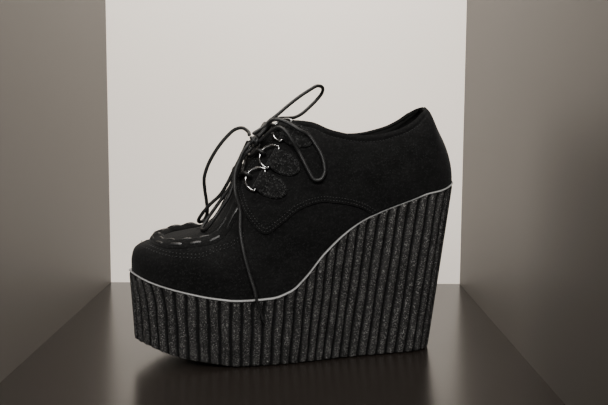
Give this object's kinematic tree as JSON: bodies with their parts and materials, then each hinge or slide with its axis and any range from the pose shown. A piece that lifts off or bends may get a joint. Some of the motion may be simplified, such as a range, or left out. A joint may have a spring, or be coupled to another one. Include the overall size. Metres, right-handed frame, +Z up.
{
  "type": "platform shoe",
  "caption": "Suede lace-up derby on a ribbed rubber wedge platform, with a woven apron, ring lacing and a tied bow.",
  "frame": {"origin": "on the floor, under the middle of the shoe's box without its laces", "axes": "+X towards the heel, -X towards the toe, -Y towards the outer side, +Z up"},
  "size_m": [0.25, 0.0962, 0.2048],
  "materials": {
    "suede": "black suede with a short matt nap",
    "sole_rubber": "black crepe rubber with a fine grain",
    "edge_rubber": "light grey smooth rubber edge",
    "lining": "smooth dark lining leather",
    "chrome": "polished nickel plate",
    "lace": "round waxed black lace"
  },
  "bodies": {
    "root": {"outsole": "sole_rubber", "wedge_sole": "sole_rubber", "welt": "edge_rubber", "insole": "lining", "upper": "suede", "tongue": "suede", "apron_braid": "suede", "tab_lateral_1": "suede", "d_ring_lateral_1": "chrome", "tab_medial_1": "suede", "d_ring_medial_1": "chrome", "tab_lateral_2": "suede", "d_ring_lateral_2": "chrome", "tab_medial_2": "suede", "d_ring_medial_2": "chrome", "tab_lateral_3": "suede", "d_ring_lateral_3": "chrome", "tab_medial_3": "suede", "d_ring_medial_3": "chrome", "lace_bars": "lace", "lace_knot": "lace", "lace_loop_near": "lace", "lace_loop_far": "lace", "lace_loop_front": "lace", "lace_loop_low": "lace", "lace_end_near": "lace"}
  },
  "joints": []
}
